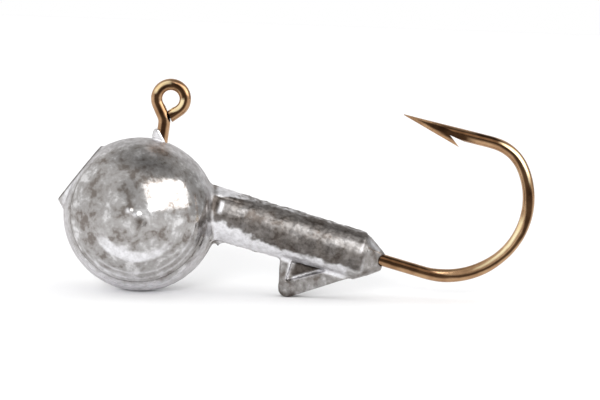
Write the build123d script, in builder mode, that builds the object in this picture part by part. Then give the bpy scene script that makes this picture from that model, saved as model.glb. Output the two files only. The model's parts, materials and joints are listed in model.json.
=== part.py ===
from build123d import *
from math import asin, atan2, cos, degrees, hypot, radians, sin, tan
import os

os.makedirs("parts", exist_ok=True)

# A jig head: one bent and forged hook with lead cast round its front end. It lies at rest on the
# bottom of its ball and on the tip of its bait keeper. Z = 0 is the surface it rests on, +X runs
# from the ball to the hook bend, and the hook and the mould's parting line are in the XZ plane.

# Driving dimensions, in millimetres and degrees. "Along" is measured along the shank from the
# ball's centre to the tail, and "up" square to it from the ball's centre towards the eye.

# Hook
wire_diameter = 1.2
shank_up = 2.7
bend_along = 29.93  # where the straight shank ends
forged_radius, forged_turn = 8.7, 60  # bottom of the bend
side_radius, side_turn = 7.9, 70
crown_radius, crown_turn = 4.55, 48
run_out_radius, run_out_turn = 12.0, 4.7  # last easy curve into the point arm
arm_length = 1.1
forged_height, forged_width = 1.28, 1.12  # the oval that the wire is pressed to
oval_start, oval_finish = 0.25, 0.65  # share of the forged arc where it is fully oval

point_length = 8.0
barb_reach, barb_drop = 6.4, 1.95  # barb's tip: behind the point, and below the back edge
notch_reach, notch_drop = 5.15, 0.95  # root of the cut that raises the barb
notch_end = 6.8
point_flat_length = 5.2  # flats ground on both sides of the point
tip_thickness = 0.05
keel_top_width, keel_edge_width = 1.1, 0.3  # the metal below the wire that forms the barb

turn_along, turn_radius, turn_angle = 2.26, 1.8, 82  # from the shank up into the leg
leg_length = 5.6
neck_radius, neck_angle, neck_length = 1.5, 32, 1.3
eye_radius, eye_turn = 1.46, 259  # centre line of the eye
eye_end_length = 0.95
mandrel_radius = 0.9  # the pin that the eye is closed on leaves a narrow flat inside it

# Lead
ball_radius = 8.0
gate_distance, gate_lean, gate_shift = 7.65, 22.6, -0.6  # cut face, from the ball's centre
gate_length, gate_width, gate_depth, gate_draft = 7.1, 4.4, 2.6, 24
flash_thickness = 1.6
flash_base = 7.4  # inside the ball
flash_front, flash_front_up = -1.0, 8.93
flash_peak, flash_peak_up = -0.7, 9.05
flash_back, flash_back_up = 0.45, 7.9

collar_up = 2.45
collar_front, collar_end = 5.0, 23.1  # it starts inside the ball
collar_front_radius, collar_end_radius = 2.7, 2.55
neck_fillet = 0.8

tail_end = 25.65
tail_end_radius = 0.85
tail_end_width = 0.36  # the pinch is narrower than the wire, which comes out through it

keeper_front, keeper_front_lean = 15.25, 12.7  # front edge, where it leaves the collar
keeper_depth = 4.4  # its lower corner below the ball's centre
keeper_slope = 34.3  # long edge back up to the tail
keeper_tip_radius = 0.9
keeper_thickness, keeper_web = 2.2, 0.3
keeper_end, keeper_root = 22.7, 0.9
pocket_front, pocket_depth, pocket_slope = 16.45, 2.25, 31

ball_setback = 16.1  # ball's centre from the middle of the overall length

# The keeper's lower corner, the centre of its rounded tip, and the tilt that brings that tip and
# the ball down to one flat surface
front_run = tan(radians(keeper_front_lean))
corner_along = keeper_front + keeper_depth * front_run
keeper_root_along = keeper_front - keeper_root * front_run
front_heading = 90 + keeper_front_lean
half_corner = (front_heading - keeper_slope) / 2
to_tip_centre = radians(keeper_slope + half_corner)
tip_distance = keeper_tip_radius / sin(radians(half_corner))
tip_along = corner_along + tip_distance * cos(to_tip_centre)
tip_down = keeper_depth - tip_distance * sin(to_tip_centre)
tip_reach = hypot(tip_along, tip_down)
tilt = degrees(asin((ball_radius - keeper_tip_radius) / tip_reach) - atan2(tip_down, tip_along))

# Plane of the hook: x along the shank, y up towards the eye, origin at the ball's centre
jig = Plane(
    origin=(-ball_setback, 0, ball_radius),
    x_dir=(cos(radians(tilt)), 0, -sin(radians(tilt))),
    z_dir=(0, -1, 0),
)
collar_axis = Axis(jig.from_local_coords((0, collar_up, 0)), jig.x_dir)


def square_to_collar(along):
    """Plane square to the collar's axis, with x across the jig and y up towards the eye."""
    centre = jig.from_local_coords((along, collar_up, 0))
    return Plane(origin=centre, x_dir=(0, -1, 0), z_dir=-jig.x_dir)


def square_to(line, position):
    """Plane square to a line of the hook, at 0 to 1 of its length."""
    return Plane(origin=line @ position, x_dir=(0, 1, 0), z_dir=line % position)


def keeper_long_edge(along):
    """How far up the keeper's long edge is."""
    return (along - corner_along) * tan(radians(keeper_slope)) - keeper_depth


# Centre line of the hook: from the bend forwards to the eye, then from the bend to the point
with BuildLine(jig) as front_line:
    shank = Line((bend_along, shank_up), (turn_along, shank_up))
    turn = JernArc(shank @ 1, shank % 1, turn_radius, -turn_angle)
    leg = Line(turn @ 1, turn @ 1 + (turn % 1) * leg_length)
    neck_bend = JernArc(leg @ 1, leg % 1, neck_radius, neck_angle)
    neck = Line(neck_bend @ 1, neck_bend @ 1 + (neck_bend % 1) * neck_length)
    eye = JernArc(neck @ 1, neck % 1, eye_radius, -eye_turn)
    eye_end = Line(eye @ 1, eye @ 1 + (eye % 1) * eye_end_length)

with BuildLine(jig) as forged_line:
    forged = JernArc((bend_along, shank_up), (1, 0), forged_radius, forged_turn)

with BuildLine(jig) as bend_line:
    side = JernArc(forged @ 1, forged % 1, side_radius, side_turn)
    crown = JernArc(side @ 1, side % 1, crown_radius, crown_turn)
    run_out = JernArc(crown @ 1, crown % 1, run_out_radius, run_out_turn)
    arm = Line(run_out @ 1, run_out @ 1 + (run_out % 1) * arm_length)

# Planes of the point, with their origin on the back edge of the wire at the sharp end, and x back
# along the arm or across it
arm_back = -(arm % 1)
arm_inward = arm_back.cross(Vector(0, -1, 0))
point_tip = arm @ 1 - arm_back * point_length - arm_inward * (wire_diameter / 2)
point_side = Plane(origin=point_tip, x_dir=arm_back, z_dir=(0, 1, 0))
point_top = Plane(origin=point_tip, x_dir=arm_back, z_dir=-arm_inward)
point_end = Plane(origin=point_tip, x_dir=(0, -1, 0), z_dir=arm_back)

with BuildPart() as point:
    # round wire, and below it a keel that the barb is cut from
    with BuildSketch(point_end):
        with Locations((0, wire_diameter / 2)):
            Circle(wire_diameter / 2)
    extrude(amount=point_length)
    with BuildSketch(point_end):
        with BuildLine():
            Polyline(
                (-keel_top_width / 2, wire_diameter / 2),
                (-keel_edge_width / 2, barb_drop),
                (keel_edge_width / 2, barb_drop),
                (keel_top_width / 2, wire_diameter / 2),
                close=True,
            )
        make_face()
    extrude(amount=barb_reach)
    # side view: straight back edge, ground edge from the tip to the barb, and the cut behind it
    with BuildSketch(point_side):
        with BuildLine():
            Polyline(
                (0, 0),
                (point_length, 0),
                (point_length, wire_diameter),
                (notch_end, wire_diameter),
                (notch_reach, notch_drop),
                (barb_reach, barb_drop),
                (0, tip_thickness),
                close=True,
            )
        make_face()
    extrude(amount=wire_diameter, both=True, mode=Mode.INTERSECT)
    # view from above: flats ground on both sides down to the tip
    with BuildSketch(point_top):
        with BuildLine():
            Polyline(
                (0, -tip_thickness / 2),
                (point_flat_length, -wire_diameter / 2),
                (point_length, -wire_diameter / 2),
                (point_length, wire_diameter / 2),
                (point_flat_length, wire_diameter / 2),
                (0, tip_thickness / 2),
                close=True,
            )
        make_face()
    extrude(amount=2 * barb_drop, both=True, mode=Mode.INTERSECT)

# Hook: one wire from the cut end of the eye to the point
with BuildPart() as jig_hook:
    with BuildSketch(square_to(shank, 0)):
        Circle(wire_diameter / 2)
    sweep(path=front_line.wires()[0])
    with BuildSketch(square_to(side, 0)):
        Circle(wire_diameter / 2)
    sweep(path=bend_line.wires()[0])
    for position, width, height in (
        (0, wire_diameter, wire_diameter),
        (oval_start, forged_width, forged_height),
        (oval_finish, forged_width, forged_height),
        (1, wire_diameter, wire_diameter),
    ):
        with BuildSketch(square_to(forged, position)):
            Ellipse(width / 2, height / 2)
    sweep(path=forged_line.wires()[0], multisection=True)
    add(point.part)
    with BuildSketch(Plane(origin=eye.arc_center, x_dir=(1, 0, 0), z_dir=(0, -1, 0))):
        Circle(mandrel_radius)
    extrude(amount=wire_diameter, both=True, mode=Mode.SUBTRACT)

jig_hook.part.label = "jig_hook"
export_step(jig_hook.part, "parts/jig_hook.step")

# Keeper: a flat triangular fin with a pocket in each side and a thin web between the pockets
with BuildPart() as keeper:
    with BuildSketch(jig):
        with BuildLine():
            rim = FilletPolyline(
                (keeper_root_along, keeper_root),
                (corner_along, -keeper_depth),
                (keeper_end, keeper_long_edge(keeper_end)),
                radius=keeper_tip_radius,
            )
            Polyline(rim @ 1, (keeper_end, keeper_root), rim @ 0)
        make_face()
    extrude(amount=keeper_thickness / 2, both=True)
    pocket_length = (pocket_depth + keeper_root) / tan(radians(pocket_slope))
    with BuildSketch(jig.offset(keeper_web / 2), jig.offset(-keeper_thickness / 2)):
        with BuildLine():
            Polyline(
                (pocket_front, keeper_root),
                (pocket_front, -pocket_depth),
                (pocket_front + pocket_length, keeper_root),
                close=True,
            )
        make_face()
    extrude(amount=(keeper_thickness - keeper_web) / 2, mode=Mode.SUBTRACT)

# Tail: a short cone, pinched flat on both sides
with BuildPart() as tail:
    with BuildSketch(square_to_collar(collar_end)):
        Circle(collar_end_radius)
    with BuildSketch(square_to_collar(tail_end)):
        Circle(tail_end_radius)
    loft()
    with BuildSketch(Plane(origin=collar_axis.position, x_dir=jig.x_dir, z_dir=jig.y_dir)):
        with BuildLine():
            Polyline(
                (collar_end, -collar_end_radius),
                (tail_end, -tail_end_width / 2),
                (tail_end, tail_end_width / 2),
                (collar_end, collar_end_radius),
                close=True,
            )
        make_face()
    extrude(amount=collar_end_radius, both=True, mode=Mode.INTERSECT)

# Cut face of the gate on the nose: x up along the cut, z into the ball
gate_lean_cos, gate_lean_sin = cos(radians(gate_lean)), sin(radians(gate_lean))
gate_inward = jig.x_dir * gate_lean_cos - jig.y_dir * gate_lean_sin
gate_up = jig.x_dir * gate_lean_sin + jig.y_dir * gate_lean_cos
gate_centre = jig.origin - gate_inward * gate_distance + gate_up * gate_shift
gate_cut = Plane(origin=gate_centre, x_dir=gate_up, z_dir=gate_inward)

# The ball's poles are the middles of the two mould halves, and its seam is at the bottom
ball_poles = Plane(origin=jig.origin, x_dir=(0, 0, -1), z_dir=(0, 1, 0))

# Lead casting: one pour round the hook
with BuildPart() as lead_casting:
    with Locations(ball_poles):
        Sphere(ball_radius)
    # collar, with a soft neck where it leaves the ball
    with BuildSketch(jig):
        with BuildLine():
            Polyline(
                (collar_front, collar_up),
                (collar_front, collar_up + collar_front_radius),
                (collar_end, collar_up + collar_end_radius),
                (collar_end, collar_up),
                close=True,
            )
        make_face()
    revolve(axis=collar_axis)
    fillet(lead_casting.edges().filter_by(GeomType.BSPLINE), neck_fillet)
    add(tail.part)
    add(keeper.part)
    # gate, which flares into the ball, and the flat that the nippers leave across it
    with BuildSketch(gate_cut):
        SlotOverall(gate_length, gate_width)
    extrude(amount=gate_depth, taper=-gate_draft)
    with BuildSketch(gate_cut):
        Circle(ball_radius)
    extrude(amount=-gate_depth, mode=Mode.SUBTRACT)
    # flash that stands up round the foot of the leg
    with BuildSketch(jig):
        with BuildLine():
            Polyline(
                (flash_front, flash_base),
                (flash_front, flash_front_up),
                (flash_peak, flash_peak_up),
                (flash_back, flash_back_up),
                (flash_back, flash_base),
                close=True,
            )
        make_face()
    extrude(amount=flash_thickness / 2, both=True)
    # the hook fills its own cavity
    add(jig_hook.part, mode=Mode.SUBTRACT)

lead_casting.part.label = "lead_casting"
export_step(lead_casting.part, "parts/lead_casting.step")
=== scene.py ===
import json
from math import ceil, cos, pi, radians, sin, sqrt, tan

import bmesh
import bpy
import numpy as np
from mathutils import Matrix, Vector, noise


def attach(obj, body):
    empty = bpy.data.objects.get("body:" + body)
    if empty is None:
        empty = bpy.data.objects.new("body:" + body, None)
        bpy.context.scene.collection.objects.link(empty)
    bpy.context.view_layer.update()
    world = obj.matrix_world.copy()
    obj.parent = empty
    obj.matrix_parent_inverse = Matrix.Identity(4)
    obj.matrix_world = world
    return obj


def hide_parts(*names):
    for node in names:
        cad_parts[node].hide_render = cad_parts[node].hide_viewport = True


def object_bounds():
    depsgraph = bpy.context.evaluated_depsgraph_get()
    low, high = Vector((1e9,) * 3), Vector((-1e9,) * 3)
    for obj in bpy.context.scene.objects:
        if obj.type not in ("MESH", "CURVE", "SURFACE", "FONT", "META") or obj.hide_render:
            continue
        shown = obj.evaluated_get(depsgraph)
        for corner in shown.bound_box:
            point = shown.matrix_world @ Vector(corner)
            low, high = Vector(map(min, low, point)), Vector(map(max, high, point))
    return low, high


# A lead jig head on a bronzed hook. The frame fixes where it is and how big it is. This script adds
# the as-cast lead surface, the drawn and forged wire, both finishes, a pale floor and soft light.

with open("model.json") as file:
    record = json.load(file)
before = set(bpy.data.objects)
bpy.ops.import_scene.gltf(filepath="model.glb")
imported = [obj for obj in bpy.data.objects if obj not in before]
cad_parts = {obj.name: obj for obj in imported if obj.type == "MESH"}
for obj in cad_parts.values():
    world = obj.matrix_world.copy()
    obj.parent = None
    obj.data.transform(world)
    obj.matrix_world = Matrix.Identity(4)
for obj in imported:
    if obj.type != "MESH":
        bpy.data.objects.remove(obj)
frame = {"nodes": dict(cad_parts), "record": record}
cad_low, cad_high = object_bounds()

MM = 0.001

# Jig axes: "along" the shank from the ball's centre, "up" square to it towards the eye, and
# "across", which is the row's Y. Sizes below are in millimetres in these axes.
COLLAR_UP = 2.45
COLLAR_MOUNT_ALONG = 9.0
MOUNTS = {mount["name"]: mount for mount in frame["record"]["mounts"]}
ALONG = Vector(MOUNTS["bait_collar"]["axis"]).normalized()
ACROSS = Vector((0, 1, 0))
UP = ALONG.cross(ACROSS)
BALL_CENTRE = Vector(MOUNTS["bait_collar"]["pos_m"]) - MM * (COLLAR_MOUNT_ALONG * ALONG + COLLAR_UP * UP)
JIG_AXES = np.array([ALONG, UP, ACROSS])

# Hook
WIRE_RADIUS = 0.63  # the steel and its lacquer
SHANK_UP = 2.7
BEND_ALONG = 29.93
TURN_ALONG = 2.26
FORGED_RADIUS, FORGED_TURN = 8.7, 60
FORGED_HALF_HEIGHT, FORGED_HALF_WIDTH = 0.69, 0.58
PRESS_GROWS, PRESS_FADES = (0, 0.25), (0.65, 1)  # shares of the forged arc
EYE_RADIUS, EYE_TURN = 1.46, 259
EYE_TAIL = 0.95
MANDREL_RADIUS = 0.9
CUT_SLANT, CUT_BULGE = 0.14, 0.05
POINT_LENGTH = 8.0  # every reach is measured back from the tip
BARB_REACH, BARB_DROP = 6.4, 1.95
NOTCH_REACH, NOTCH_DROP, NOTCH_END = 5.15, 0.95, 6.8
BEHIND_BARB = BARB_REACH + 1  # a reach where the wire is round
POINT_FLAT_LENGTH = 5.2
TIP_HALF_THICKNESS = 0.045
KEEL_TOP, KEEL_EDGE = 0.55, 0.15
# straight runs, (length, 0), and arcs, (radius, turn in degrees), from the start of the bend
FRONT_RUNS = (
    (BEND_ALONG - TURN_ALONG, 0),  # shank
    (1.8, -82),  # turn inside the ball
    (5.6, 0),  # leg
    (1.5, 32),
    (1.3, 0),
    (EYE_RADIUS, -EYE_TURN),
    (EYE_TAIL, 0),
)
BEND_RUNS = (
    (FORGED_RADIUS, FORGED_TURN),
    (7.9, 70),
    (4.55, 48),  # crown
    (12.0, 4.7),
    (1.1, 0),
)
# painted dark reflection: distance past the start of the bend, and where it starts and ends round the
# wire, from -1 outside the bend to 1 inside it
DARK_REFLECTION_BAND = (
    (-30, -0.4, 0.45),
    (-26, -0.3, 1.1),
    (0, -0.3, 0.8),
    (3, -0.35, 0.12),
    (9, -0.5, -0.02),
    (12, -0.75, -0.1),
    (15, -0.65, 0.5),
    (18, -0.33, 0.6),
    (20.5, -0.2, 0.35),
    (23.5, -0.95, 0.2),
)
# painted highlights: distances past the start of the bend, and places round the wire
HIGHLIGHT_BEND, HIGHLIGHT_BEND_STARTS = (5.6, 13.4), 0.32
HIGHLIGHT_BEND_ENDS, HIGHLIGHT_BEND_WIDENS = 0.295, 0.045  # its end moves inward with distance
HIGHLIGHT_CROWN, HIGHLIGHT_CROWN_SIDE = (17.5, 22.3), (-0.56, -0.26)
# painted highlights on the eye: distances from its centre, bearings in degrees, and their soft edge
HIGHLIGHT_EYE = (((1.58, 1.9), (108, 174), 8), ((1.02, 1.38), (-78, 14), 6))
DARK_REFLECTION_WANDER = (1.5, 3, 5)  # of the painted dark reflection's edge: size, octaves and seed
# the painted dark reflection on the ground point's facet: soft edges in depth, and in reach behind the
# tip
FACET_BACK, FACET_EDGE = (0.12, 0.26), (0.42, 0.26)
FACET_TIP, FACET_END = (0.6, 1.1), (6.9, 7.6)
POINT_PAST_BEND = (24, 24.5)
WIRE_SIDES = 40
HALF_SIDES = WIRE_SIDES // 2
NOTCH_SIDE, EDGE_SIDE = 14, 17  # places round the wire: level with the notch, and the ground edge
WIRE_STEP = 0.2
ROOT_RINGS, TIP_RINGS, BARB_RINGS = 9, 25, 8
BARB_BLUNT, BARB_EDGE = 0.02, 0.01  # how short of its corner the barb ends, and how thin
WELD, SLIVER = 0.002 * MM, 0.001 * MM
SHARP_ANGLE = 32  # degrees between faces, shaded as an edge from here up

# Lead
BALL_RADIUS = 8.0
COLLAR_FRONT, COLLAR_END = 5.0, 23.1
COLLAR_FRONT_RADIUS, COLLAR_END_RADIUS = 2.7, 2.55
COLLAR_TAPER = (COLLAR_FRONT_RADIUS - COLLAR_END_RADIUS) / (COLLAR_END - COLLAR_FRONT)
GATE_LEAN, GATE_DISTANCE, GATE_SHIFT = 22.6, 7.65, -0.6  # the gate's cut face
GATE_LENGTH, GATE_WIDTH = 7.1, 4.4
LEG_FLASH, LEG_FLASH_UP = (-1.2, 0.7), 7.9
KEEPER_FRONT, KEEPER_SLOPE_UP, KEEPER_SLOPE = 16.45, -2.25, tan(radians(31))  # floor of its pocket
HALVES_STEP, HALVES_SHRINK = 0.07, 0.003  # how the mould's nearer half missed the other
FLASH_HEIGHT = 0.11
DRIP_ALONG, DRIP_HEIGHT = 8.5, 0.7  # a drip of flash under the neck
LAP_ALONG, LAP_UP, LAP_HEIGHT = (7.0, 9.6), 4.28, 0.06  # a cold lap on the collar's front
# lumps in the surface, and wandering edges of the marks: size, octaves and seed of their noise
BROAD_LUMPS, LUMPS, FINE_LUMPS = (3.2, 2, 1), (1.1, 3, 2), (0.42, 2, 3)
EDGE_WANDER, SPECKLE = (1.4, 3, 7), (0.5, 2, 8)
CAD_WELD = 0.0001 * MM
GRAIN = 0.1  # size of the casting's mesh
EDGE_SOFTENING = 3
MOST_TRIANGLES = 196000

# Marks of the mould's tool on the ball, as places seen along the tool's axis
MARKS_TILT = 4.5  # the tool stood this far from square to the mould's face
STEP_RING, STEP_DEPTH, STEP_WIDTH = 7.09, -0.07, 0.12
# rings inside the step: distance from the tool's centre, height, width, and whether it is broken
TOOL_RINGS = (
    (6.85, 0.03, 0.12, False),
    (6.2, -0.03, 0.14, True),
    (5.6, -0.025, 0.16, True),
    (5.15, -0.025, 0.2, False),
    (4.6, 0.02, 0.4, False),
    (2.3, -0.012, 0.25, True),
)
# two nubs and a pit by the tool's centre: place and height
NUBS_AND_PIT = (((-0.68, 0.15), 0.16), ((0.17, -0.06), 0.18), ((0.95, -0.45), -0.14))
NUB_WIDTH = 0.33
RIM = (6.95, 7.5)  # where the matt band round the parting line starts
# painted reflection and highlights low on the ball: arcs, a crescent and a spot, with angles in radians
# below the tool's right
REFLECTED_ARCS = ((5.95, 0.1, 0.0, 2.0), (6.5, 0.09, -0.2, 2.3))  # distance, width, first and last angle
CRESCENT_INNER, CRESCENT_OUTER, CRESCENT_NARROWS = 3.65, 4.75, 0.45
CRESCENT_ANGLES = (0.36, 2.3)
HIGHLIGHT_SPOT, HIGHLIGHT_SPOT_SIZE = (-0.3, -3.55), (0.5, 0.2)
GLINTS = (((-0.84, 0.2), 0.24), ((-0.05, 0.03), 0.26))  # painted highlights on the nubs: place and width
# painted shade in the pit: place and width
PIT_SHADE, PIT_SHADE_WIDTH = (0.62, -0.52), 0.46
CROWN_HIGH, CROWN_RIGHT = (4.5, 6.9), (-4.2, 4.4)  # a cap with a painted dark reflection

# Marks on the collar, neck, keeper and tail, as places along and up
STRIP_DEPTH = ((7.5, 0.75), (9.5, 0.4), (15, 0.2), (20, 0.08))  # of the light strip on top, a painted reflection
UNDERSIDE = ((8, 2.05), (9.4, 1.95), (11.5, 1.5), (14.7, 1.1), (21, 1.1))  # top of the pale underside, a painted reflection of the floor
# painted shade in bands along the collar: lowest and highest, soft edge, and how dark
SHADE_BANDS = ((3.9, 5.2, 0.2, 0.8), (1.0, 2.85, 0.25, 0.85), (2.85, 3.9, 0.2, 0.5))
COLLAR_MARKS_START, COLLAR_MARKS_END, COLLAR_MARKS_LOWEST = (6.6, 7.2), (23.2, 24.0), (-0.35, -0.15)
NECK_ALONG, NECK_UP = 6.95, (1.9, 4.6)
# a painted highlight on the neck
GLINT_ALONG, GLINT_UP = (7.62, 8.08), (2.7, 4.0)
# a hollow and a hole at the neck, and the painted shade in each
HOLLOW, HOLLOW_SIZE, HOLLOW_DEPTH = (7.16, 3.42), (0.4, 0.65), 0.16
HOLE, HOLE_WIDTH, HOLE_DEPTH = (7.23, 1.76), 0.22, 0.08
HOLLOW_SHADE, HOLLOW_SHADE_SIZE = (7.16, 3.5), (0.38, 0.62)
HOLE_SHADE, HOLE_SHADE_WIDTH = (7.23, 1.85), 0.2
# edges with painted highlights: start, end and width
SHOULDER_EDGES = (((22.95, 3.0), (23.1, 4.0), 0.16), ((23.5, 2.4), (23.6, 1.1), 0.12))
POCKET_EDGES = (((16.35, 0.0), (16.5, -1.85), 0.18), ((17.25, -1.75), (20.25, 0.12), 0.12))
POCKET_STARTS, POCKET_ENDS, POCKET_HALF_WIDTH = (16.75, 17.1), (20.6, 21.0), (0.85, 1.0)
# a ledge in the keeper's pocket with a painted highlight
LEDGE_ALONG, LEDGE_OVER_SLOPE, LEDGE_HALF_WIDTH = (17.0, 20.4), (-0.2, 0.24), (0.95, 1.1)
# a tail edge with a painted highlight: start, end and width
TAIL_EDGE = ((23.4, 4.5), (24.8, 3.6), 0.2)


def to_jig(points):
    """Row coordinates in metres to jig axes in millimetres."""
    return (points - np.array(BALL_CENTRE)) @ JIG_AXES.T / MM


def to_row(points):
    """Jig axes in millimetres to row coordinates in metres."""
    return points * MM @ JIG_AXES + np.array(BALL_CENTRE)


def smooth(value, low, high):
    """0 below low, 1 above high, and a soft step between."""
    t = np.clip((value - low) / (high - low), 0, 1)
    return t * t * (3 - 2 * t)


def band(value, low, high, edge):
    """1 between two values, with soft edges."""
    return smooth(value, low - edge, low + edge) * (1 - smooth(value, high - edge, high + edge))


def hill(value, centre, width):
    """A soft round hill of height 1."""
    return np.exp(-(((value - centre) / width) ** 2))


def spot_at(right, high, place, width, height=None):
    """A soft spot, round unless a height is given."""
    return hill(right, place[0], width) * hill(high, place[1], height or width)


def near_line(along, up, start, end, width):
    """1 on a straight line between two places, falling off to the sides."""
    start, end = np.array(start), np.array(end)
    run = end - start
    share = ((along - start[0]) * run[0] + (up - start[1]) * run[1]) / (run @ run)
    share = np.clip(share, 0, 1)
    return spot_at(along - share * run[0], up - share * run[1], start, width)


def noise_at(points, size, octaves, seed):
    """Smooth noise of about -1 to 1 at each point, with features of the given size."""
    shift = Vector((seed * 17.3, seed * 5.9, seed * 11.1))
    return np.array(
        [noise.fractal(Vector(p) / size + shift, 0.8, 2.0, octaves) for p in points]
    )


def add_object(name, mesh):
    piece = bpy.data.objects.new(name, mesh)
    bpy.context.scene.collection.objects.link(piece)
    return piece


def read_points(mesh):
    points = np.empty(len(mesh.vertices) * 3)
    mesh.vertices.foreach_get("co", points)
    return points.reshape(-1, 3)


def read_normals(mesh):
    normals = np.empty(len(mesh.vertices) * 3, np.float32)
    mesh.vertex_normals.foreach_get("vector", normals)
    return normals.reshape(-1, 3).astype(float)


def set_mask(mesh, name, values):
    """A value from 0 to 1 at each vertex, for the finishes to read."""
    mask = mesh.attributes.new(name, "FLOAT", "POINT")
    mask.data.foreach_set("value", np.clip(values, 0, 1).astype(np.float32))


# ---------------------------------------------------------------- hook


def walk(place, heading, moves):
    """Points and headings along straight runs and arcs."""
    places = [np.array(place, float)]
    headings = [heading]
    for size, turn in moves:
        length = size * radians(abs(turn)) if turn else size
        count = ceil(length / WIRE_STEP)
        for _ in range(count):
            middle = headings[-1] + radians(turn) / count / 2
            chord = length / count
            if turn:
                chord = 2 * size * sin(radians(abs(turn)) / count / 2)
            places.append(places[-1] + chord * np.array((cos(middle), sin(middle))))
            headings.append(headings[-1] + radians(turn) / count)
    return np.array(places), np.array(headings)


def whole_wire():
    """The wire's centre line from the eye's cut end to the point, and where the bend starts in it."""
    front, front_heading = walk((BEND_ALONG, SHANK_UP), pi, FRONT_RUNS)
    bend, bend_heading = walk((BEND_ALONG, SHANK_UP), 0, BEND_RUNS)
    line = np.vstack((front[::-1], bend[1:]))
    return line, np.concatenate((front_heading[::-1] + pi, bend_heading[1:])), len(front) - 1


def centre_of_eye():
    """One eye radius to the side of where the eye's arc meets its tail."""
    first = ceil(EYE_TAIL / WIRE_STEP)
    side = WIRE_HEADING[first] + pi / 2
    return WIRE_LINE[first] + EYE_RADIUS * np.array((cos(side), sin(side)))


WIRE_LINE, WIRE_HEADING, BEND_FIRST = whole_wire()
EYE_CENTRE = centre_of_eye()
POINT_AHEAD = np.array((cos(WIRE_HEADING[-1]), sin(WIRE_HEADING[-1])))
POINT_INWARD = np.array((-sin(WIRE_HEADING[-1]), cos(WIRE_HEADING[-1])))


def ground(reach):
    """Depth of the ground edge, at a reach behind the tip."""
    return 2 * TIP_HALF_THICKNESS + (BARB_DROP - 2 * TIP_HALF_THICKNESS) * reach / BARB_REACH


def half_width(depth, reach):
    """Half the point's thickness, at a depth below its back edge and a reach behind its tip."""
    chord = sqrt(max(WIRE_RADIUS**2 - (depth - WIRE_RADIUS) ** 2, 0))
    keel = 0
    if depth >= WIRE_RADIUS and reach <= BARB_REACH:
        share = (depth - WIRE_RADIUS) / (BARB_DROP - WIRE_RADIUS)
        keel = KEEL_TOP + (KEEL_EDGE - KEEL_TOP) * share
    flat = TIP_HALF_THICKNESS + (WIRE_RADIUS - TIP_HALF_THICKNESS) * reach / POINT_FLAT_LENGTH
    return min(max(chord, keel), flat)


def side_line(reach, top, bottom, first, last):
    """Places down one side of the point's section, from one depth to another."""
    steps = last - first
    depths = [top + (bottom - top) * k / steps for k in range(steps + 1)]
    return [(half_width(depth, reach), depth) for depth in depths]


def lower_line(reach, top, bottom):
    """From the notch's level down the side to the ground edge, and across it to the middle."""
    side = side_line(reach, top, bottom, NOTCH_SIDE, EDGE_SIDE)
    width = side[-1][0]
    steps = HALF_SIDES - EDGE_SIDE
    return side + [(width * (1 - k / steps), bottom) for k in range(1, steps + 1)]


def across_line(reach, depth):
    """From the side straight across to the middle."""
    width = half_width(depth, reach)
    steps = HALF_SIDES - NOTCH_SIDE
    return [(width * (1 - k / steps), depth) for k in range(steps + 1)]


def upper_line(reach, level):
    """From the back edge round to just short of the notch's level."""
    full = 1 - cos(pi * NOTCH_SIDE / HALF_SIDES)
    depths = [level * (1 - cos(pi * k / HALF_SIDES)) / full for k in range(NOTCH_SIDE)]
    return [(0, 0)] + [(half_width(depth, reach), depth) for depth in depths[1:]]


def section(half, reach):
    """A whole ring of the point from its right half, at a reach behind the tip."""
    whole = half + [(-across, depth) for across, depth in half[-2:0:-1]]
    back_edge = WIRE_LINE[-1] + POINT_AHEAD * (POINT_LENGTH - reach) - POINT_INWARD * WIRE_RADIUS
    return [(*(back_edge + POINT_INWARD * depth), across) for across, depth in whole]


class Skin:
    """Rings of vertices joined by quads."""

    def __init__(self):
        self.places = []
        self.faces = []

    def add(self, places):
        start = len(self.places)
        self.places.extend(places)
        return list(range(start, len(self.places)))

    def join(self, one, other, closed=True):
        count = len(one)
        for k in range(count if closed else count - 1):
            m = (k + 1) % count
            self.faces.append((one[k], one[m], other[m], other[k]))

    def grow(self, last, places):
        """A new ring joined to the last one."""
        ring = self.add(places)
        self.join(last, ring)
        return ring

    def mesh(self, name):
        mesh = bpy.data.meshes.new(name)
        mesh.from_pydata(to_row(np.array(self.places)).tolist(), [], self.faces)
        shape = bmesh.new()
        shape.from_mesh(mesh)
        bmesh.ops.remove_doubles(shape, verts=shape.verts, dist=WELD)
        bmesh.ops.dissolve_degenerate(shape, edges=shape.edges, dist=SLIVER)
        bmesh.ops.recalc_face_normals(shape, faces=shape.faces)
        for face in shape.faces:
            face.smooth = True
        for edge in shape.edges:
            edge.smooth = len(edge.link_faces) == 2 and edge.calc_face_angle() < radians(SHARP_ANGLE)
        shape.to_mesh(mesh)
        shape.free()
        return mesh


def wire_ring(index):
    """A ring of the round or pressed wire, kept clear of the mandrel inside the eye."""
    forged_count = ceil(FORGED_RADIUS * radians(FORGED_TURN) / WIRE_STEP)
    share = (index - BEND_FIRST) / forged_count
    pressed = float(smooth(share, *PRESS_GROWS) * (1 - smooth(share, *PRESS_FADES)))
    half_height = WIRE_RADIUS + (FORGED_HALF_HEIGHT - WIRE_RADIUS) * pressed
    half_across = WIRE_RADIUS + (FORGED_HALF_WIDTH - WIRE_RADIUS) * pressed
    angle = WIRE_HEADING[index]
    left = np.array((-sin(angle), cos(angle)))
    ring = []
    for k in range(WIRE_SIDES):
        turn = 2 * pi * k / WIRE_SIDES
        spot = WIRE_LINE[index] - half_height * cos(turn) * left
        from_eye = spot - EYE_CENTRE
        distance = float(np.hypot(*from_eye))
        if distance < MANDREL_RADIUS:
            spot = EYE_CENTRE + from_eye * MANDREL_RADIUS / distance
        ring.append((spot[0], spot[1], half_across * sin(turn)))
    return ring


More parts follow.
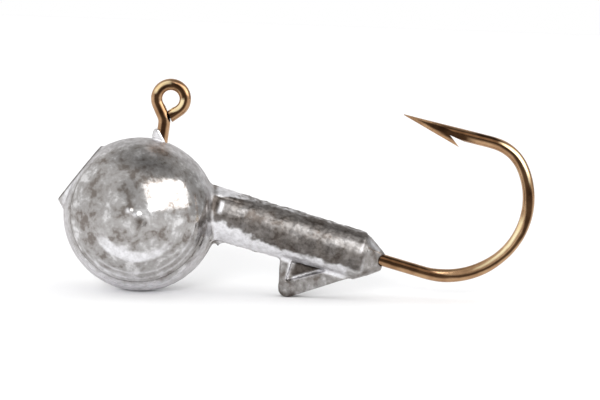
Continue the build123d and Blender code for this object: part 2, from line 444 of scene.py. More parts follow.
def cut_end(ring):
    """The wire's first ring cut on the slant, after two smaller ones with its edge just broken."""
    first = np.array(ring)
    out = np.array((-cos(WIRE_HEADING[0]), -sin(WIRE_HEADING[0]), 0))
    outward = np.array((-out[1], out[0], 0))
    outward = outward * np.sign(outward[:2] @ (WIRE_LINE[0] - EYE_CENTRE))
    slant = 1 + (first - first.mean(0)) @ outward / WIRE_RADIUS
    first = first + CUT_SLANT * slant[:, None] * out
    middle = first.mean(0)
    face = [(middle + (first - middle) * scale + out * CUT_BULGE).tolist() for scale in (0.5, 0.93)]
    return face + [first.tolist()]


def add_root(skin, last):
    """From the wire to the notch's root."""
    slope = (2 * WIRE_RADIUS - NOTCH_DROP) / (NOTCH_END - NOTCH_REACH)
    for reach in np.linspace(NOTCH_END, NOTCH_REACH, ROOT_RINGS):
        bottom = NOTCH_DROP + (reach - NOTCH_REACH) * slope
        level = min(NOTCH_DROP, bottom)
        if reach > NOTCH_REACH:
            half = upper_line(BEHIND_BARB, level) + lower_line(BEHIND_BARB, level, bottom)
        else:
            half = upper_line(reach, level) + across_line(reach, level)
        last = skin.grow(last, section(half, reach))
    return last


def add_tip(skin, root):
    """From the notch's root to the tip. Its first ring is where the barb grows from."""
    half = upper_line(NOTCH_REACH, NOTCH_DROP)
    half += lower_line(NOTCH_REACH, NOTCH_DROP, ground(NOTCH_REACH))
    fresh = skin.add(section(half, NOTCH_REACH)[NOTCH_SIDE + 1 : WIRE_SIDES - NOTCH_SIDE])
    crotch = root[: NOTCH_SIDE + 1] + fresh + root[WIRE_SIDES - NOTCH_SIDE :]
    last = crotch
    level_share = NOTCH_DROP / ground(NOTCH_REACH)
    for reach in np.linspace(NOTCH_REACH, 0, TIP_RINGS)[1:]:
        bottom = ground(reach)
        level = bottom * level_share
        half = upper_line(reach, level) + lower_line(reach, level, bottom)
        last = skin.grow(last, section(half, reach))
    skin.faces.append(tuple(last))
    return crotch


def add_barb(skin, crotch, root):
    """The barb, back from the notch's root between its ground edge and the notch."""
    lower = slice(NOTCH_SIDE, WIRE_SIDES - NOTCH_SIDE + 1)
    under, over = crotch[lower], root[lower]
    back = [(0, 0)] * NOTCH_SIDE
    for reach in np.linspace(NOTCH_REACH, BARB_REACH - BARB_BLUNT, BARB_RINGS)[1:]:
        share = (reach - NOTCH_REACH) / (BARB_REACH - NOTCH_REACH)
        top = NOTCH_DROP + (BARB_DROP - NOTCH_DROP) * share
        top = min(top, ground(reach) - BARB_EDGE)
        next_under = skin.add(section(back + lower_line(reach, top, ground(reach)), reach)[lower])
        inner = section(back + across_line(reach, top), reach)[lower][1:-1]
        next_over = [next_under[0]] + skin.add(inner) + [next_under[-1]]
        skin.join(under, next_under, closed=False)
        skin.join(over, next_over, closed=False)
        under, over = next_under, next_over
    skin.join(under, over, closed=False)


def highlight_on_eye(points):
    """Painted highlights on the eye, at its outer left and its inner right."""
    from_eye = points[:, :2] - EYE_CENTRE
    distance = np.hypot(*from_eye.T)
    bearing = np.degrees(np.arctan2(from_eye[:, 1], from_eye[:, 0]))
    return sum(
        band(distance, *distances, 0.06) * band(bearing, *bearings, edge)
        for distances, bearings, edge in HIGHLIGHT_EYE
    )


def dark_facet(points, normals, inward, past_bend, flank):
    """The ground point's facet has a painted dark reflection, but for its tip and its two edges."""
    from_tip = POINT_LENGTH - (points[:, :2] - WIRE_LINE[-1]) @ POINT_AHEAD
    depth = (inward + 1) * WIRE_RADIUS
    edge = ground(from_tip)
    facet = smooth(depth, *FACET_BACK) * (1 - smooth(depth, edge - FACET_EDGE[0], edge - FACET_EDGE[1]))
    facet = facet * smooth(from_tip, *FACET_TIP) * smooth(np.abs(normals[:, 2]), 0.4, 0.7)
    on_point = (1 - smooth(from_tip, *FACET_END)) * smooth(past_bend, *POINT_PAST_BEND)
    return flank * (1 - on_point) + on_point * facet


def paint_hook(mesh):
    """A painted dark reflection in a band down both flanks, and pale painted highlights in streaks."""
    points = to_jig(read_points(mesh))
    normals = read_normals(mesh) @ JIG_AXES.T
    gaps = [(points[:, axis, None] - WIRE_LINE[None, :, axis]) ** 2 for axis in (0, 1)]
    nearest = np.argmin(gaps[0] + gaps[1], 1)
    angle = WIRE_HEADING[nearest]
    offset = points[:, :2] - WIRE_LINE[nearest]
    inward = (offset[:, 1] * np.cos(angle) - offset[:, 0] * np.sin(angle)) / WIRE_RADIUS
    past_bend = (nearest - BEND_FIRST) * WIRE_STEP

    # the painted dark reflection, in a band round the wire
    side = inward + 0.07 * noise_at(points, *DARK_REFLECTION_WANDER)
    stations, starts, ends = np.array(DARK_REFLECTION_BAND).T
    start = np.interp(past_bend, stations, starts)
    end = np.interp(past_bend, stations, ends)
    flank = smooth(side, start - 0.12, start + 0.12) * (1 - smooth(side, end - 0.15, end + 0.15))
    flank = dark_facet(points, normals, inward, past_bend, flank)

    # painted highlights in streaks on the bend, the crown and the eye
    highlight_end = HIGHLIGHT_BEND_ENDS + HIGHLIGHT_BEND_WIDENS * past_bend
    painted_highlight = band(past_bend, *HIGHLIGHT_BEND, 0.9) * band(side, HIGHLIGHT_BEND_STARTS, highlight_end, 0.1)
    painted_highlight += 0.8 * band(past_bend, *HIGHLIGHT_CROWN, 0.8) * band(side, *HIGHLIGHT_CROWN_SIDE, 0.1)
    painted_highlight = np.clip(painted_highlight + highlight_on_eye(points), 0, 1)

    facing_out = normals[:, :2] @ (-cos(WIRE_HEADING[0]), -sin(WIRE_HEADING[0]))
    cut = smooth(facing_out, 0.6, 0.8) * (nearest < 3)
    painted_highlight = painted_highlight * (1 - cut)
    set_mask(mesh, "painted_highlight", painted_highlight)
    set_mask(mesh, "flank", np.maximum(flank, cut) * (1 - painted_highlight))


def make_hook():
    skin = Skin()
    rings = [wire_ring(index) for index in range(len(WIRE_LINE))]
    joined = [skin.add(ring) for ring in cut_end(rings[0]) + rings[1:]]
    skin.faces.append(tuple(joined[0]))
    for one, other in zip(joined, joined[1:]):
        skin.join(one, other)
    root = add_root(skin, joined[-1])
    crotch = add_tip(skin, root)
    add_barb(skin, crotch, root)
    mesh = skin.mesh("jig_hook_wire")
    paint_hook(mesh)
    return add_object("jig_hook_wire", mesh)


# ---------------------------------------------------------------- lead casting


def evaluated_mesh(piece):
    """The piece's mesh with its modifiers applied."""
    graph = bpy.context.evaluated_depsgraph_get()
    return bpy.data.meshes.new_from_object(piece.evaluated_get(graph))


def fine_copy(node):
    """A CAD node's shape as an even, fine mesh, with its units in millimetres."""
    mesh = frame["nodes"][node].data.copy()
    shape = bmesh.new()
    shape.from_mesh(mesh)
    bmesh.ops.remove_doubles(shape, verts=shape.verts, dist=CAD_WELD)
    bmesh.ops.transform(shape, matrix=Matrix.Scale(1 / MM, 4), verts=shape.verts)
    shape.to_mesh(mesh)
    shape.free()
    piece = add_object(node + "_cast", mesh)
    remesh = piece.modifiers.new("even", "REMESH")
    remesh.mode = "VOXEL"
    remesh.voxel_size = GRAIN
    remesh.use_smooth_shade = True
    soften = piece.modifiers.new("soften", "SMOOTH")
    soften.factor = 0.5
    soften.iterations = EDGE_SOFTENING
    piece.data = evaluated_mesh(piece)
    piece.modifiers.clear()
    return piece


def wire_gap(points):
    """Distance from the hook's centre line."""
    gap = np.full(len(points), np.inf)
    for place in WIRE_LINE:
        flat = np.hypot(points[:, 0] - place[0], points[:, 1] - place[1])
        gap = np.minimum(gap, np.hypot(flat, points[:, 2]))
    return gap


def tool_view(points):
    """Places seen along the axis of the tool that cut the mould's ball."""
    tilt = radians(MARKS_TILT)
    axis = JIG_AXES @ np.array((0, -cos(tilt), sin(tilt)))
    first = np.cross(np.cross(axis, (1, 0, 0)), axis)
    first = first / np.linalg.norm(first)
    return points @ first, points @ np.cross(first, axis)


def tool_marks(points, off_ball):
    """Relief that the tool left on the ball: rings, and two nubs with a pit beside them."""
    right, high = tool_view(points)
    distance = np.hypot(right, high)
    around = np.arctan2(high, right)
    broken = 0.7 + 0.3 * np.sin(3 * around + 1.0) * np.cos(5 * around)
    lowness = -high - 0.25 * right
    marks = STEP_DEPTH * hill(distance, STEP_RING, STEP_WIDTH) * (0.3 + 0.7 * smooth(lowness, -4, 1))
    for reach, height, width, is_broken in TOOL_RINGS:
        marks += height * hill(distance, reach, width) * (broken if is_broken else 1)
    marks = marks * smooth(lowness, -3.5, 0.5)
    for place, height in NUBS_AND_PIT:
        marks += height * spot_at(right, high, place, NUB_WIDTH)
    return marks * (1 - smooth(off_ball, 0.06, 0.2))


def cast_relief(points, normals, off_ball):
    """How far the cast surface stands out of the CAD shape, away from the wire."""
    along, up, across = points.T
    on_ball = 1 - smooth(off_ball, 0.1, 0.3)
    collar_radius = COLLAR_FRONT_RADIUS - COLLAR_TAPER * (along - COLLAR_FRONT)
    off_collar = np.abs(np.hypot(up - COLLAR_UP, across) - collar_radius)
    on_collar = smooth(along, 8.0, 9.0) * (1 - smooth(off_collar, 0.1, 0.3))
    in_pocket = (1 - smooth(np.abs(across), 0.2, 0.9)) * smooth(along, 16.4, 16.6)
    in_pocket = in_pocket * (1 - smooth(up, -0.2, 0.2)) * smooth(1.95 - np.abs(up), 0, 0.3)

    # lumps and hollows of lead that set against a cold mould
    broad = noise_at(points, *BROAD_LUMPS)
    middling = noise_at(points, *LUMPS)
    fine = noise_at(points, *FINE_LUMPS)
    rise = (0.012 - 0.007 * on_ball) * middling + (0.006 - 0.004 * on_ball) * fine
    rise += on_collar * (0.03 * middling + 0.012 * fine) + in_pocket * 0.05 * fine
    rise += tool_marks(points, off_ball)

    # flash where the mould's halves met, with a drip under the neck
    seam = hill(across, 0, 0.09) * (1 - smooth(normals[:, 2] ** 2, 0.1, 0.5))
    ragged = 0.5 + 0.5 * np.clip(middling + 0.4 * broad, -1, 1)
    rise += FLASH_HEIGHT * (1 - 0.75 * on_ball) * seam * ragged
    rise += DRIP_HEIGHT * seam * hill(along, DRIP_ALONG, 0.4) * smooth(1.0 - up, 0, 0.6)

    # a cold lap, a hollow and a hole at the neck, on the nearer side
    near = smooth(-across, 0.0, 0.3)
    lap = band(along, *LAP_ALONG, 0.3) * smooth(up + 0.1 * middling, LAP_UP, LAP_UP + 0.12)
    hollow = HOLLOW_DEPTH * spot_at(along, up, HOLLOW, *HOLLOW_SIZE)
    hole = HOLE_DEPTH * spot_at(along, up, HOLE, HOLE_WIDTH)
    return rise + near * (LAP_HEIGHT * lap - hollow - hole)


def swollen_flash(points):
    """The flash beside the leg is swollen over the wire."""
    along, up = points[:, 0], points[:, 1]
    return 0.1 * band(along, *LEG_FLASH, 0.1) * smooth(up, LEG_FLASH_UP + 0.05, LEG_FLASH_UP + 0.3)


def thin_out(piece):
    triangles = 2 * len(piece.data.polygons)
    if triangles > MOST_TRIANGLES:
        thin = piece.modifiers.new("thin", "DECIMATE")
        thin.ratio = MOST_TRIANGLES / triangles
        piece.data = evaluated_mesh(piece)
        piece.modifiers.clear()


class Cast:
    """Where each vertex of the casting is, in jig axes and in the tool's view, and noise there."""

    def __init__(self, points):
        self.along, self.up, self.across = points.T
        self.from_centre = np.linalg.norm(points, axis=1)
        self.from_wire = wire_gap(points)
        self.right, self.high = tool_view(points)
        self.from_tool = np.hypot(self.right, self.high)
        self.wander = noise_at(points, *EDGE_WANDER)
        self.small = noise_at(points, *SPECKLE)
        self.near = smooth(-self.across, -0.05, 0.1)

    def lines(self, edges):
        return sum(near_line(self.along, self.up, *edge) for edge in edges)

    def neck_glint(self):
        # a painted highlight on the neck
        return 0.9 * band(self.along, *GLINT_ALONG, 0.11) * band(self.up, *GLINT_UP, 0.2) * self.near


# Each of these gives how bright, how dark and how matt one area of the casting is. Most of the
# brightness is painted highlights and reflections, and most of the darkness painted shade.


def paint_ball(at):
    """Painted reflection and highlights in a crescent, arcs and glints and at its rim, matt at its rim,
    painted shade in the pit, and a painted dark reflection at the crown.
    """
    on_ball = 1 - smooth(np.abs(at.from_centre - BALL_RADIUS), 0.15, 0.4)
    on_ball = on_ball * (1 - smooth(at.along, 7.3, 7.9))
    rim = smooth(at.from_tool, *RIM) * on_ball
    turned = np.arctan2(-at.high, at.right)
    inner = CRESCENT_INNER + CRESCENT_NARROWS * smooth(at.right, 0, 3.3)
    crescent = band(at.from_tool + 0.1 * at.wander, inner, CRESCENT_OUTER, 0.15)
    crescent = crescent * band(turned, *CRESCENT_ANGLES, 0.3) * (0.5 + 0.5 * smooth(-at.high, 2.0, 4.0))
    arcs = sum(
        hill(at.from_tool, distance, width) * band(turned, first, last, 0.3)
        for distance, width, first, last in REFLECTED_ARCS
    )
    highlight_spot = spot_at(at.right, at.high, HIGHLIGHT_SPOT, *HIGHLIGHT_SPOT_SIZE)
    glint = sum(spot_at(at.right, at.high, place, width) for place, width in GLINTS)
    bright = at.near * (0.95 * crescent + 0.5 * arcs + 0.9 * highlight_spot + glint)
    # painted reflection of the floor, lighter towards the bottom
    bright += 0.05 * smooth(-at.high, 1.5, 5.5) + 0.35 * smooth(-at.high, 5.2, 6.8)
    # a painted highlight at the rim
    rim_shine = rim * (0.55 + 0.35 * smooth(-at.high - 0.3 * at.right, -3, 2))

    # a painted dark reflection at the crown
    crown = band(at.high + 0.35 * at.wander, *CROWN_HIGH, 0.4)
    crown = crown * band(at.right + 0.5 * at.wander, *CROWN_RIGHT, 1.2) * on_ball * at.near
    # painted shade in the pit
    pit = 1.4 * spot_at(at.right, at.high, PIT_SHADE, PIT_SHADE_WIDTH) * at.near
    matt_top = 0.6 * smooth(at.high, 5.2, 6.4) * on_ball
    return on_ball * bright + 0.8 * rim_shine, 0.8 * pit + 0.24 * crown, 0.5 * rim + pit + matt_top


def paint_gate(at):
    """Its cut edge is dark, with a bright strip inside."""
    lean = radians(GATE_LEAN)
    height = at.up * sin(lean) - at.along * cos(lean) - GATE_DISTANCE
    across_gate = at.along * sin(lean) + at.up * cos(lean) - GATE_SHIFT
    from_middle = np.hypot(2 * across_gate / GATE_LENGTH, 2 * at.across / GATE_WIDTH)
    edge = smooth(height, -0.16, -0.08) * (0.35 + 0.65 * smooth(from_middle, 0.78, 0.95))
    strip = band(height, -0.42, -0.18, 0.05) * (0.6 + 0.4 * np.clip(at.small, -1, 1))
    return 0.5 * strip, 0.75 * edge, 0


def paint_leg_flash(at):
    # a painted highlight on the flash beside the leg
    flash = smooth(at.up, LEG_FLASH_UP, LEG_FLASH_UP + 0.3) * band(at.along, *LEG_FLASH, 0.1)
    return 0.8 * flash, 0, 0


def paint_collar(at):
    """A light strip along the top and a pale underside, both painted reflections, and painted shade in
    bands.
    """
    along, up = at.along, at.up
    on_collar = smooth(at.from_centre, 8.05, 8.3) * smooth(along, *COLLAR_MARKS_START)
    on_collar = on_collar * (1 - smooth(along, *COLLAR_MARKS_END)) * smooth(up, *COLLAR_MARKS_LOWEST)
    top_edge = COLLAR_UP + COLLAR_FRONT_RADIUS - COLLAR_TAPER * (along - COLLAR_FRONT)
    front = 1 - smooth(along, 8.6, 10.2)
    # painted reflection: a light strip along the top
    strip_edge = top_edge - np.interp(along, *zip(*STRIP_DEPTH)) + 0.1 * at.wander
    strip = smooth(up, strip_edge - 0.07, strip_edge + 0.07)
    strip = strip * np.clip(0.55 + 0.8 * at.small + front, 0, 1)
    # painted reflection of the floor on the underside
    under_edge = np.interp(along, *zip(*UNDERSIDE)) - 0.32 * at.wander - 0.2 * at.small
    under = 1 - smooth(up, under_edge - 0.25, under_edge + 0.15)
    under = under * (1 - 0.85 * smooth(along, 21.9, 22.5))
    # painted shade in bands along the collar
    level = up + 0.14 * at.wander
    shade = sum(share * band(level, low, high, edge) for low, high, edge, share in SHADE_BANDS)
    shade = shade * on_collar * (1 - under) * (1 - strip) * (1 - at.neck_glint())
    bright = on_collar * ((0.65 + 0.3 * front) * strip + 0.95 * under)
    return bright, shade, on_collar * (0.75 + 0.2 * strip)


def paint_neck(at):
    """A painted highlight, and painted shade in a hollow, a hole and across the neck."""
    glint = at.neck_glint()
    neck = hill(at.along, NECK_ALONG, 0.3) * band(at.up, *NECK_UP, 0.3) * at.near
    hollow = spot_at(at.along, at.up, HOLLOW_SHADE, *HOLLOW_SHADE_SIZE) * at.near
    hole = spot_at(at.along, at.up, HOLE_SHADE, HOLE_SHADE_WIDTH) * at.near
    return glint, 0.9 * hollow + 0.7 * hole + 0.6 * neck * (1 - glint), neck


def paint_keeper(at):
    """Dark in its pocket, with painted highlights on the pocket's edges and ledge, and painted shade on
    its side, darker towards the bottom.
    """
    over_slope = at.up - (at.along - KEEPER_FRONT) * KEEPER_SLOPE - KEEPER_SLOPE_UP
    sideways = np.abs(at.across)
    in_pocket = smooth(at.along, *POCKET_STARTS) * (1 - smooth(at.along, *POCKET_ENDS))
    in_pocket = in_pocket * smooth(over_slope, 0.25, 0.45) * smooth(-at.up, -0.5, 0.0)
    in_pocket = in_pocket * (1 - smooth(sideways, *POCKET_HALF_WIDTH))
    ledge = band(over_slope, *LEDGE_OVER_SLOPE, 0.06) * band(at.along, *LEDGE_ALONG, 0.15)
    ledge = ledge * (1 - smooth(sideways, *LEDGE_HALF_WIDTH))
    edges = at.lines(POCKET_EDGES)
    keeper = smooth(-at.up, 0.25, 0.45) * smooth(at.along, 14.5, 15)
    # painted shade on the keeper's side, darker towards the bottom
    side_shade = 0.38 + 0.35 * np.clip(at.small, -1, 1) + 0.6 * smooth(-at.up, 2.9, 3.6)
    side = keeper * (1 - in_pocket) * (1 - np.clip(edges + ledge, 0, 1)) * side_shade
    return edges + 0.9 * ledge, in_pocket + side, 0.8 * in_pocket + 0.3 * keeper + ledge + edges


def paint_tail(at):
    """Painted highlights on its edges, and dark at its end and round the wire."""
    edge = at.lines([TAIL_EDGE])
    tail = smooth(at.along, 23.6, 24.2)
    around_wire = (1 - smooth(at.from_wire, 0.66, 0.8)) * smooth(at.along, 24.1, 24.4)
    return 0.6 * at.lines(SHOULDER_EDGES) + edge, 0.35 * tail * (1 - edge) + around_wire, 0


def paint_casting(mesh):
    at = Cast(to_jig(read_points(mesh)))
    areas = (paint_ball, paint_gate, paint_leg_flash, paint_collar, paint_neck, paint_keeper, paint_tail)
    painted = [paint(at) for paint in areas]
    for name, shares in zip(("bright", "dark", "matt"), zip(*painted)):
        set_mask(mesh, name, sum(shares))


def make_casting():
    piece = fine_copy("lead_casting")
    mesh = piece.data
    points = to_jig(read_points(mesh) * MM)
    normals = read_normals(mesh) @ JIG_AXES.T
    off_ball = np.abs(np.linalg.norm(points, axis=1) - BALL_RADIUS)
    off_wire = smooth(wire_gap(points), 0.62, 0.85)
    rise = cast_relief(points, normals, off_ball) * off_wire + swollen_flash(points)
    moved = points + normals * rise[:, None]

    # the half nearer the viewer was cast a little higher and smaller than the other
    near_half = smooth(-points[:, 2], -0.05, 0.05) * (1 - smooth(off_ball, 0.1, 0.3)) * off_wire
    step = np.array((ALONG.z, UP.z, 0)) * HALVES_STEP - HALVES_SHRINK * moved
    places = to_row(moved + near_half[:, None] * step)
    places[:, 2] = np.maximum(places[:, 2], 0)  # it stands on the floor
    mesh.vertices.foreach_set("co", places.astype(np.float32).ravel())
    mesh.update()
    thin_out(piece)
    for face in piece.data.polygons:
        face.use_smooth = True
    paint_casting(piece.data)
    return piece


# ---------------------------------------------------------------- finishes

# Colours at stops along a noise
LEAD_TONES = (
    (0.39, (0.205, 0.180, 0.163)),
    (0.46, (0.36, 0.343, 0.331)),
    (0.54, (0.44, 0.427, 0.42)),
    (0.63, (0.73, 0.72, 0.72)),
)
# colour of the casting's painted highlights and reflections, and of the bright strip in the gate
BRIGHT_LEAD = ((0.3, (0.66, 0.65, 0.66)), (0.6, (0.93, 0.925, 0.95)))
# colour where the casting is painted darker: painted shade and dark reflections, and the darker pocket,
# gate edge, tail end and lead round the wire
DARK_LEAD = ((0.3, (0.03, 0.022, 0.018)), (0.7, (0.16, 0.14, 0.125)))
LEAD_EDGE_TINT = (0.62, 0.6, 0.59, 1)
LEAD_ROUGHNESS, MATT_ROUGHNESS = ((0.4, 0.17), (0.6, 0.11)), ((0.3, 0.45), (0.7, 0.55))
BRONZE_TONES = (
    (0.30, (0.32, 0.182, 0.095)),
    (0.50, (0.42, 0.252, 0.138)),
    (0.72, (0.55, 0.362, 0.205)),
)
# colour of the painted dark reflection on the wire
DARK_REFLECTION_BRONZE = ((0.3, (0.024, 0.011, 0.005)), (0.7, (0.074, 0.038, 0.018)))
# colour of the painted highlights on the wire
HIGHLIGHT_BRONZE = ((0.3, (0.95, 0.70, 0.38)), (0.7, (1.0, 0.90, 0.60)))
BRONZE_ROUGHNESS = ((0.3, 0.11), (0.7, 0.22))
# sizes of what the finishes show, in millimetres
LEAD_BLOTCHES, LEAD_SPECKS, SPECKS_SHARE = 1.8, 0.55, 0.35
BRONZE_CLOUDS, BRONZE_HAZE = 1.6, 0.5
# relief: size and height
LEAD_DENTS, LEAD_GRAIN, BRONZE_GRAIN = (0.7, 0.004), (0.16, 0.0015), (0.22, 0.003)
RELIEF_DETAIL = (3, 0.6)


class Finish:
    """A node material, with short calls for the few nodes that it needs."""

    def __init__(self, name):
        self.material = bpy.data.materials.new(name)
        self.material.use_nodes = True
        self.nodes = self.material.node_tree.nodes
        self.links = self.material.node_tree.links
        self.shader = self.nodes["Principled BSDF"]
        place = self.nodes.new("ShaderNodeTexCoord")
        self.scaled = self.nodes.new("ShaderNodeMapping")
        self.scaled.inputs["Scale"].default_value = (1 / MM,) * 3
        self.links.new(place.outputs["Object"], self.scaled.inputs["Vector"])

    def noise(self, size, detail, roughness=0.5, distortion=0.0):
        """Noise with features of a size in millimetres."""
        node = self.nodes.new("ShaderNodeTexNoise")
        node.inputs["Scale"].default_value = 1 / size
        node.inputs["Detail"].default_value = detail
        node.inputs["Roughness"].default_value = roughness
        node.inputs["Distortion"].default_value = distortion
        self.links.new(self.scaled.outputs["Vector"], node.inputs["Vector"])
        return node.outputs["Fac"]

    def ramp(self, value, stops):
        node = self.nodes.new("ShaderNodeValToRGB")
        elements = node.color_ramp.elements
        while len(elements) < len(stops):
            elements.new(0.5)
        for element, (position, color) in zip(elements, stops):
            element.position = position
            element.color = (*color, 1) if isinstance(color, tuple) else (color, color, color, 1)
        self.links.new(value, node.inputs["Fac"])
        return node.outputs["Color"]

    def attribute(self, name):
        """A value that the mesh carries at each vertex."""
        node = self.nodes.new("ShaderNodeAttribute")
        node.attribute_name = name
        return node.outputs["Fac"]

    def blend(self, share, one, other):
        """From one colour to the other as the share, a number or a socket, goes from 0 to 1."""
        node = self.nodes.new("ShaderNodeMix")
        node.data_type = "RGBA"
        if isinstance(share, float):
            node.inputs[0].default_value = share
        else:
            self.links.new(share, node.inputs[0])
        self.links.new(one, node.inputs[6])
        self.links.new(other, node.inputs[7])
        return node.outputs[2]

    def relief(self, size_and_height, previous=None):
        """Fine relief, on top of an earlier one if given."""
        size, height = size_and_height
        value = self.noise(size, *RELIEF_DETAIL)
        node = self.nodes.new("ShaderNodeBump")
        node.inputs["Distance"].default_value = height * MM
        node.inputs["Strength"].default_value = 1.0
        self.links.new(value, node.inputs["Height"])
        if previous:
            self.links.new(previous, node.inputs["Normal"])
        return node.outputs["Normal"]

    def connect(self, output, socket):
        self.links.new(output, self.shader.inputs[socket])


def lead_finish():
    lead = Finish("cast_lead")
    lead.shader.inputs["Metallic"].default_value = 1.0
    lead.shader.inputs["Specular Tint"].default_value = LEAD_EDGE_TINT
    blotches = lead.noise(LEAD_BLOTCHES, 3, 0.55, distortion=0.5)
    specks = lead.noise(LEAD_SPECKS, 4, 0.65)
    tone = lead.blend(SPECKS_SHARE, blotches, specks)
    color = lead.ramp(tone, LEAD_TONES)
    # painted highlights and reflections
    color = lead.blend(lead.attribute("bright"), color, lead.ramp(specks, BRIGHT_LEAD))
    # painted shade and dark reflections
    color = lead.blend(lead.attribute("dark"), color, lead.ramp(specks, DARK_LEAD))
    lead.connect(color, "Base Color")
    smoother = lead.ramp(tone, LEAD_ROUGHNESS)
    rougher = lead.ramp(specks, MATT_ROUGHNESS)
    lead.connect(lead.blend(lead.attribute("matt"), smoother, rougher), "Roughness")
    lead.connect(lead.relief(LEAD_GRAIN, lead.relief(LEAD_DENTS)), "Normal")
    return lead.material


def bronze_finish():
    bronze = Finish("bronzed_hook_wire")
    bronze.shader.inputs["Metallic"].default_value = 1.0
    tone = bronze.noise(BRONZE_CLOUDS, 4, 0.6)
    color = bronze.ramp(tone, BRONZE_TONES)
    # painted dark reflection
    color = bronze.blend(bronze.attribute("flank"), color, bronze.ramp(tone, DARK_REFLECTION_BRONZE))
    # painted highlights
    color = bronze.blend(bronze.attribute("painted_highlight"), color, bronze.ramp(tone, HIGHLIGHT_BRONZE))
    bronze.connect(color, "Base Color")
    bronze.connect(bronze.ramp(bronze.noise(BRONZE_HAZE, 3), BRONZE_ROUGHNESS), "Roughness")
    bronze.connect(bronze.relief(BRONZE_GRAIN), "Normal")
    return bronze.material


# ---------------------------------------------------------------- studio

VIEW_ALONG, VIEW_UP = 15.48, 6.24  # what the camera looks at, in jig axes
CAMERA_DISTANCE = 260 * MM
CAMERA_LENS, SENSOR_WIDTH = 150, 36
CAMERA_CLIP = 0.01
CAMERA_RISE = 4.5
CAMERA_ROLL = 1.95

FLOOR_RADIUS = 3.0
FLOOR_SIDES = 96
FLOOR_COLOR = (0.92, 0.92, 0.925, 1)
FLOOR_ROUGHNESS, FLOOR_SHINE = 0.9, 0.1

# Angles are in degrees. A side is to the right of the camera's line, and a rise above the floor.
PANEL_DISTANCE = 0.4
PANEL_SIDE, PANEL_RISE = 60.2, 31.8
PANEL_SWING, PANEL_TIP, PANEL_ROLL = -25.4, -3.0, -9.3
PANEL_WIDTH, PANEL_HEIGHT = 0.526, 0.29
PANEL_RADIANCE = 2.8
# light for the floor alone: name, energy, spread, side and rise
FLOOR_LIGHTS = (("overhead", 3.16, 150, 0, 88), ("front", 3.2, 16, -8, 12))
# darker parts of the room: side, rise, inner and outer angle, and how bright it is there
ROOM_LEVEL = 1.0
ROOM = (
    (180, 76, 12, 42, 0.62),  # ceiling
    (90, 72, 10, 35, 0.6),
    (118, 12, 14, 44, 0.58),  # right behind
    (-16, 42, 3, 24, 0.7),  # a stand to the left of the panel
    (0, 8, 3, 28, 0.8),  # camera
)


def direction(side, rise):
    """From the object towards a side and a rise."""
    side, rise = radians(side), radians(rise)
    return Vector((sin(side) * cos(rise), -cos(side) * cos(rise), sin(rise)))


def aim(thing, place, target):
    thing.location = place
    thing.rotation_euler = (target - place).to_track_quat("-Z", "Y").to_euler()


def make_camera():
    data = bpy.data.cameras.new("camera")
    data.lens = CAMERA_LENS
    data.sensor_width = SENSOR_WIDTH
    data.clip_start = CAMERA_CLIP
    camera = add_object("camera", data)
    target = Vector(to_row(np.array([(VIEW_ALONG, VIEW_UP, 0)]))[0])
    aim(camera, target + CAMERA_DISTANCE * direction(0, CAMERA_RISE), target)
    camera.rotation_euler.rotate_axis("Z", radians(CAMERA_ROLL))
    bpy.context.scene.camera = camera


def make_floor():
    mesh = bpy.data.meshes.new("floor")
    shape = bmesh.new()
    bmesh.ops.create_circle(shape, cap_ends=True, radius=FLOOR_RADIUS, segments=FLOOR_SIDES)
    shape.to_mesh(mesh)
    shape.free()
    floor = add_object("floor", mesh)
    paper = Finish("floor_paper")
    paper.shader.inputs["Base Color"].default_value = FLOOR_COLOR
    paper.shader.inputs["Roughness"].default_value = FLOOR_ROUGHNESS
    paper.shader.inputs["Specular IOR Level"].default_value = FLOOR_SHINE
    mesh.materials.append(paper.material)


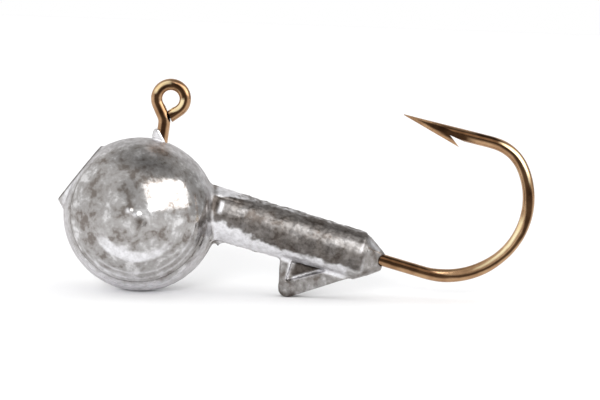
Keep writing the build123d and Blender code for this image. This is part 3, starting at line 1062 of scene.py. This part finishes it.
def make_panel():
    """A soft panel that shows in the metal and leaves the floor alone."""
    data = bpy.data.lights.new("soft_panel", "AREA")
    data.shape = "RECTANGLE"
    data.size = PANEL_WIDTH
    data.size_y = PANEL_HEIGHT
    data.energy = PANEL_RADIANCE * pi * PANEL_WIDTH * PANEL_HEIGHT
    panel = add_object("soft_panel", data)
    aim(panel, BALL_CENTRE + PANEL_DISTANCE * direction(PANEL_SIDE, PANEL_RISE), BALL_CENTRE)
    for axis, turn in (("Y", PANEL_SWING), ("X", PANEL_TIP), ("Z", PANEL_ROLL)):
        panel.rotation_euler.rotate_axis(axis, radians(turn))
    panel.visible_diffuse = False


def make_floor_lights():
    middle = (cad_low + cad_high) / 2
    for name, energy, spread, side, rise in FLOOR_LIGHTS:
        data = bpy.data.lights.new(name, "SUN")
        data.energy = energy
        data.angle = radians(spread)
        sun = add_object(name, data)
        aim(sun, middle + direction(side, rise), middle)
        sun.visible_glossy = False


def make_room():
    """A pale room with darker parts, which shows in the metal and leaves the floor alone."""
    world = bpy.data.worlds.new("studio")
    bpy.context.scene.world = world
    world.cycles_visibility.diffuse = False
    world.use_nodes = True
    nodes, links = world.node_tree.nodes, world.node_tree.links
    place = nodes.new("ShaderNodeTexCoord")
    level = None
    for side, rise, inner, outer, share in ROOM:
        towards = nodes.new("ShaderNodeVectorMath")
        towards.operation = "DOT_PRODUCT"
        towards.inputs[1].default_value = direction(side, rise)
        links.new(place.outputs["Generated"], towards.inputs[0])
        spot = nodes.new("ShaderNodeMapRange")
        spot.interpolation_type = "SMOOTHSTEP"
        spot.inputs["From Min"].default_value = cos(radians(outer))
        spot.inputs["From Max"].default_value = cos(radians(inner))
        spot.inputs["To Min"].default_value = 1
        spot.inputs["To Max"].default_value = share
        links.new(towards.outputs["Value"], spot.inputs["Value"])
        both = nodes.new("ShaderNodeMath")
        both.operation = "MULTIPLY"
        both.inputs[1].default_value = ROOM_LEVEL
        links.new(spot.outputs["Result"], both.inputs[0])
        if level:
            links.new(level, both.inputs[1])
        level = both.outputs["Value"]
    links.new(level, nodes["Background"].inputs["Color"])
    bpy.context.scene.view_settings.view_transform = "Standard"


make_camera()
make_floor()
make_panel()
make_floor_lights()
make_room()

hook = make_hook()
hook.data.materials.append(bronze_finish())
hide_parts("jig_hook")
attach(hook, "root")

casting = make_casting()
casting.data.materials.clear()
casting.data.materials.append(lead_finish())
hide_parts("lead_casting")
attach(casting, "root")
